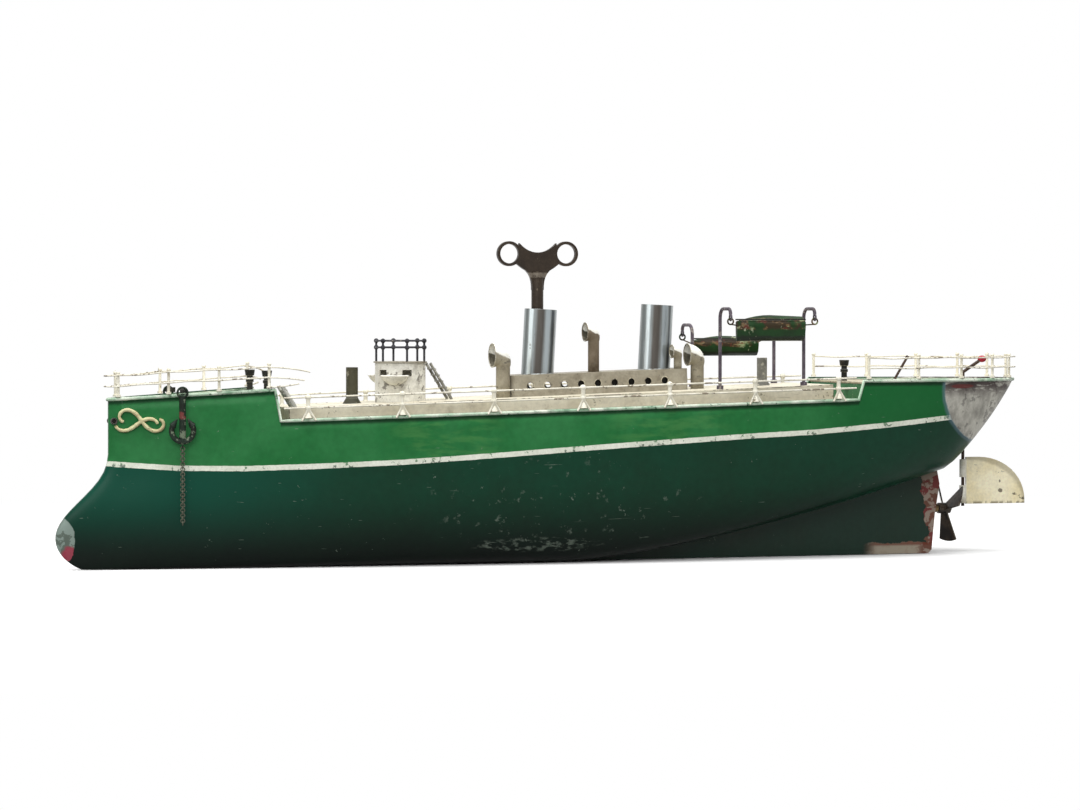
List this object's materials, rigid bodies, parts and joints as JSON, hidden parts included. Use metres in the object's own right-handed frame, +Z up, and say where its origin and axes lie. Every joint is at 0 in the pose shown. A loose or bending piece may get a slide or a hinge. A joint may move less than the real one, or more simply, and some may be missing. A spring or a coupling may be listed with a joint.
{
  "type": "wind-up toy steamship",
  "caption": "Tinplate wind-up toy steamship with a ram bow, deckhouse, funnels, hanging boats, rails, hinged rudder and a geared clockwork that turns its propeller.",
  "frame": {"origin": "centre of the bounding box's bottom, on the plane the keel rests on", "axes": "+X along the ship towards the stern, +Y towards the starboard side, +Z up"},
  "size_m": [0.5514, 0.1048, 0.1724],
  "materials": {
    "hull_green": "glossy enamel, chipped",
    "deck_cream": "worn enamel",
    "funnel_tin": "bright tin with dull streaks",
    "vent_tan": "worn enamel",
    "bridge_grey": "mottled enamel",
    "dark_wire": "dull",
    "socket_olive": "dull",
    "rail_cream": "worn enamel",
    "scroll_gold": "worn gilt",
    "black_iron": "dark, slightly glossy",
    "boat_green": "mottled enamel",
    "rudder_cream": "worn enamel",
    "knob_red": "enamel",
    "tin": "dull tinplate",
    "brass": "satin",
    "steel": "satin"
  },
  "bodies": {
    "ship": {"hull_port": "hull_green", "hull_starboard": "hull_green", "keel_fin": "hull_green", "forecastle_deck": "deck_cream", "well_deck": "deck_cream", "poop_deck": "deck_cream", "forecastle_bulkhead": "hull_green", "poop_bulkhead": "hull_green", "deck_trunk": "deck_cream", "deckhouse": "deck_cream", "fore_funnel": "funnel_tin", "aft_funnel": "funnel_tin", "fore_ventilator": "vent_tan", "house_ventilator": "vent_tan", "aft_ventilator": "vent_tan", "small_ventilator": "vent_tan", "bridge_tower": "bridge_grey", "bridge_platform": "bridge_grey", "bridge_railing": "dark_wire", "bridge_ladder": "bridge_grey", "forecastle_ladder": "bridge_grey", "fore_mast_socket": "socket_olive", "aft_mast_socket": "socket_olive", "davits": "dark_wire", "well_stanchions": "rail_cream", "well_rail_wires": "rail_cream", "end_stanchions": "rail_cream", "end_rail_wires": "rail_cream", "bow_scrolls": "scroll_gold", "hawse_pipes": "black_iron", "bollards": "black_iron", "cat_brackets": "black_iron", "rudder_tube": "tin", "lever_bracket": "tin", "stern_tube": "tin", "clockwork_bearers": "tin", "bottom_plate": "brass", "top_plate": "brass", "plate_pillars": "brass", "plate_screws": "steel", "mainspring": "steel"},
    "spring_arbor": {"winding_arbor": "steel"},
    "key": {"winding_key": "black_iron"},
    "great_gear": {"great_wheel": "brass", "click": "steel"},
    "second_gear": {"second_wheel": "brass"},
    "contrate_gear": {"contrate_wheel": "brass"},
    "propeller_drive": {"propeller_shaft": "steel", "propeller": "black_iron"},
    "rudder": {"rudder_blade": "rudder_cream", "rudder_stock": "dark_wire", "tiller_knob": "knob_red"},
    "brake": {"brake_lever": "dark_wire"},
    "port_anchor": {"anchor_port": "black_iron", "chain_port": "dark_wire"},
    "starboard_anchor": {"anchor_starboard": "black_iron", "chain_starboard": "dark_wire"},
    "port_boat": {"boat_port": "boat_green"},
    "starboard_boat": {"boat_starboard": "boat_green"}
  },
  "joints": [
    {"name": "winding", "type": "hinge", "parent": "ship", "child": "spring_arbor", "pos_m": [-0.012, 0, 0.06], "axis": [0, 0, 1], "continuous": true},
    {"name": "key_lift", "type": "slide", "parent": "spring_arbor", "child": "key", "axis": [0, 0, 1], "range_m": [0, 0.06]},
    {"name": "propeller_turn", "type": "hinge", "parent": "ship", "child": "propeller_drive", "pos_m": [0.2, 0, 0.0248], "axis": [1, 0, 0], "continuous": true},
    {"name": "great_turn", "type": "hinge", "parent": "ship", "child": "great_gear", "pos_m": [-0.012, 0, 0.036], "axis": [0, 0, 1], "continuous": true},
    {"name": "second_turn", "type": "hinge", "parent": "ship", "child": "second_gear", "pos_m": [0.0131, 0, 0.04], "axis": [0, 0, 1], "continuous": true},
    {"name": "contrate_turn", "type": "hinge", "parent": "ship", "child": "contrate_gear", "pos_m": [0.0312, 0, 0.04], "axis": [0, 0, 1], "continuous": true},
    {"name": "rudder_turn", "type": "hinge", "parent": "ship", "child": "rudder", "pos_m": [0.2381, 0, 0.06], "axis": [0, 0, 1], "range_deg": [-35, 35]},
    {"name": "brake_tilt", "type": "hinge", "parent": "ship", "child": "brake", "pos_m": [0.194, 0, 0.0925], "axis": [0, 1, 0], "range_deg": [-20, 15]},
    {"name": "port_anchor_swing", "type": "hinge", "parent": "ship", "child": "port_anchor", "pos_m": [-0.2105, -0.01242, 0.09339], "axis": [-0.2752, -0.9614, 0], "range_deg": [-25, 25]},
    {"name": "starboard_anchor_swing", "type": "hinge", "parent": "ship", "child": "starboard_anchor", "pos_m": [-0.2105, 0.01242, 0.09339], "axis": [-0.2752, 0.9614, 0], "range_deg": [-25, 25]},
    {"name": "port_boat_swing", "type": "hinge", "parent": "ship", "child": "port_boat", "pos_m": [0.10625, -0.046, 0.1314], "axis": [1, 0, 0], "range_deg": [-15, 15]},
    {"name": "starboard_boat_swing", "type": "hinge", "parent": "ship", "child": "starboard_boat", "pos_m": [0.11225, 0.046, 0.1224], "axis": [1, 0, 0], "range_deg": [-15, 15]}
  ],
  "couplings": [
    {"joint": "contrate_turn", "follows": "propeller_turn", "ratio": -0.25},
    {"joint": "second_turn", "follows": "propeller_turn", "ratio": 0.0625},
    {"joint": "great_turn", "follows": "propeller_turn", "ratio": -0.015625}
  ]
}
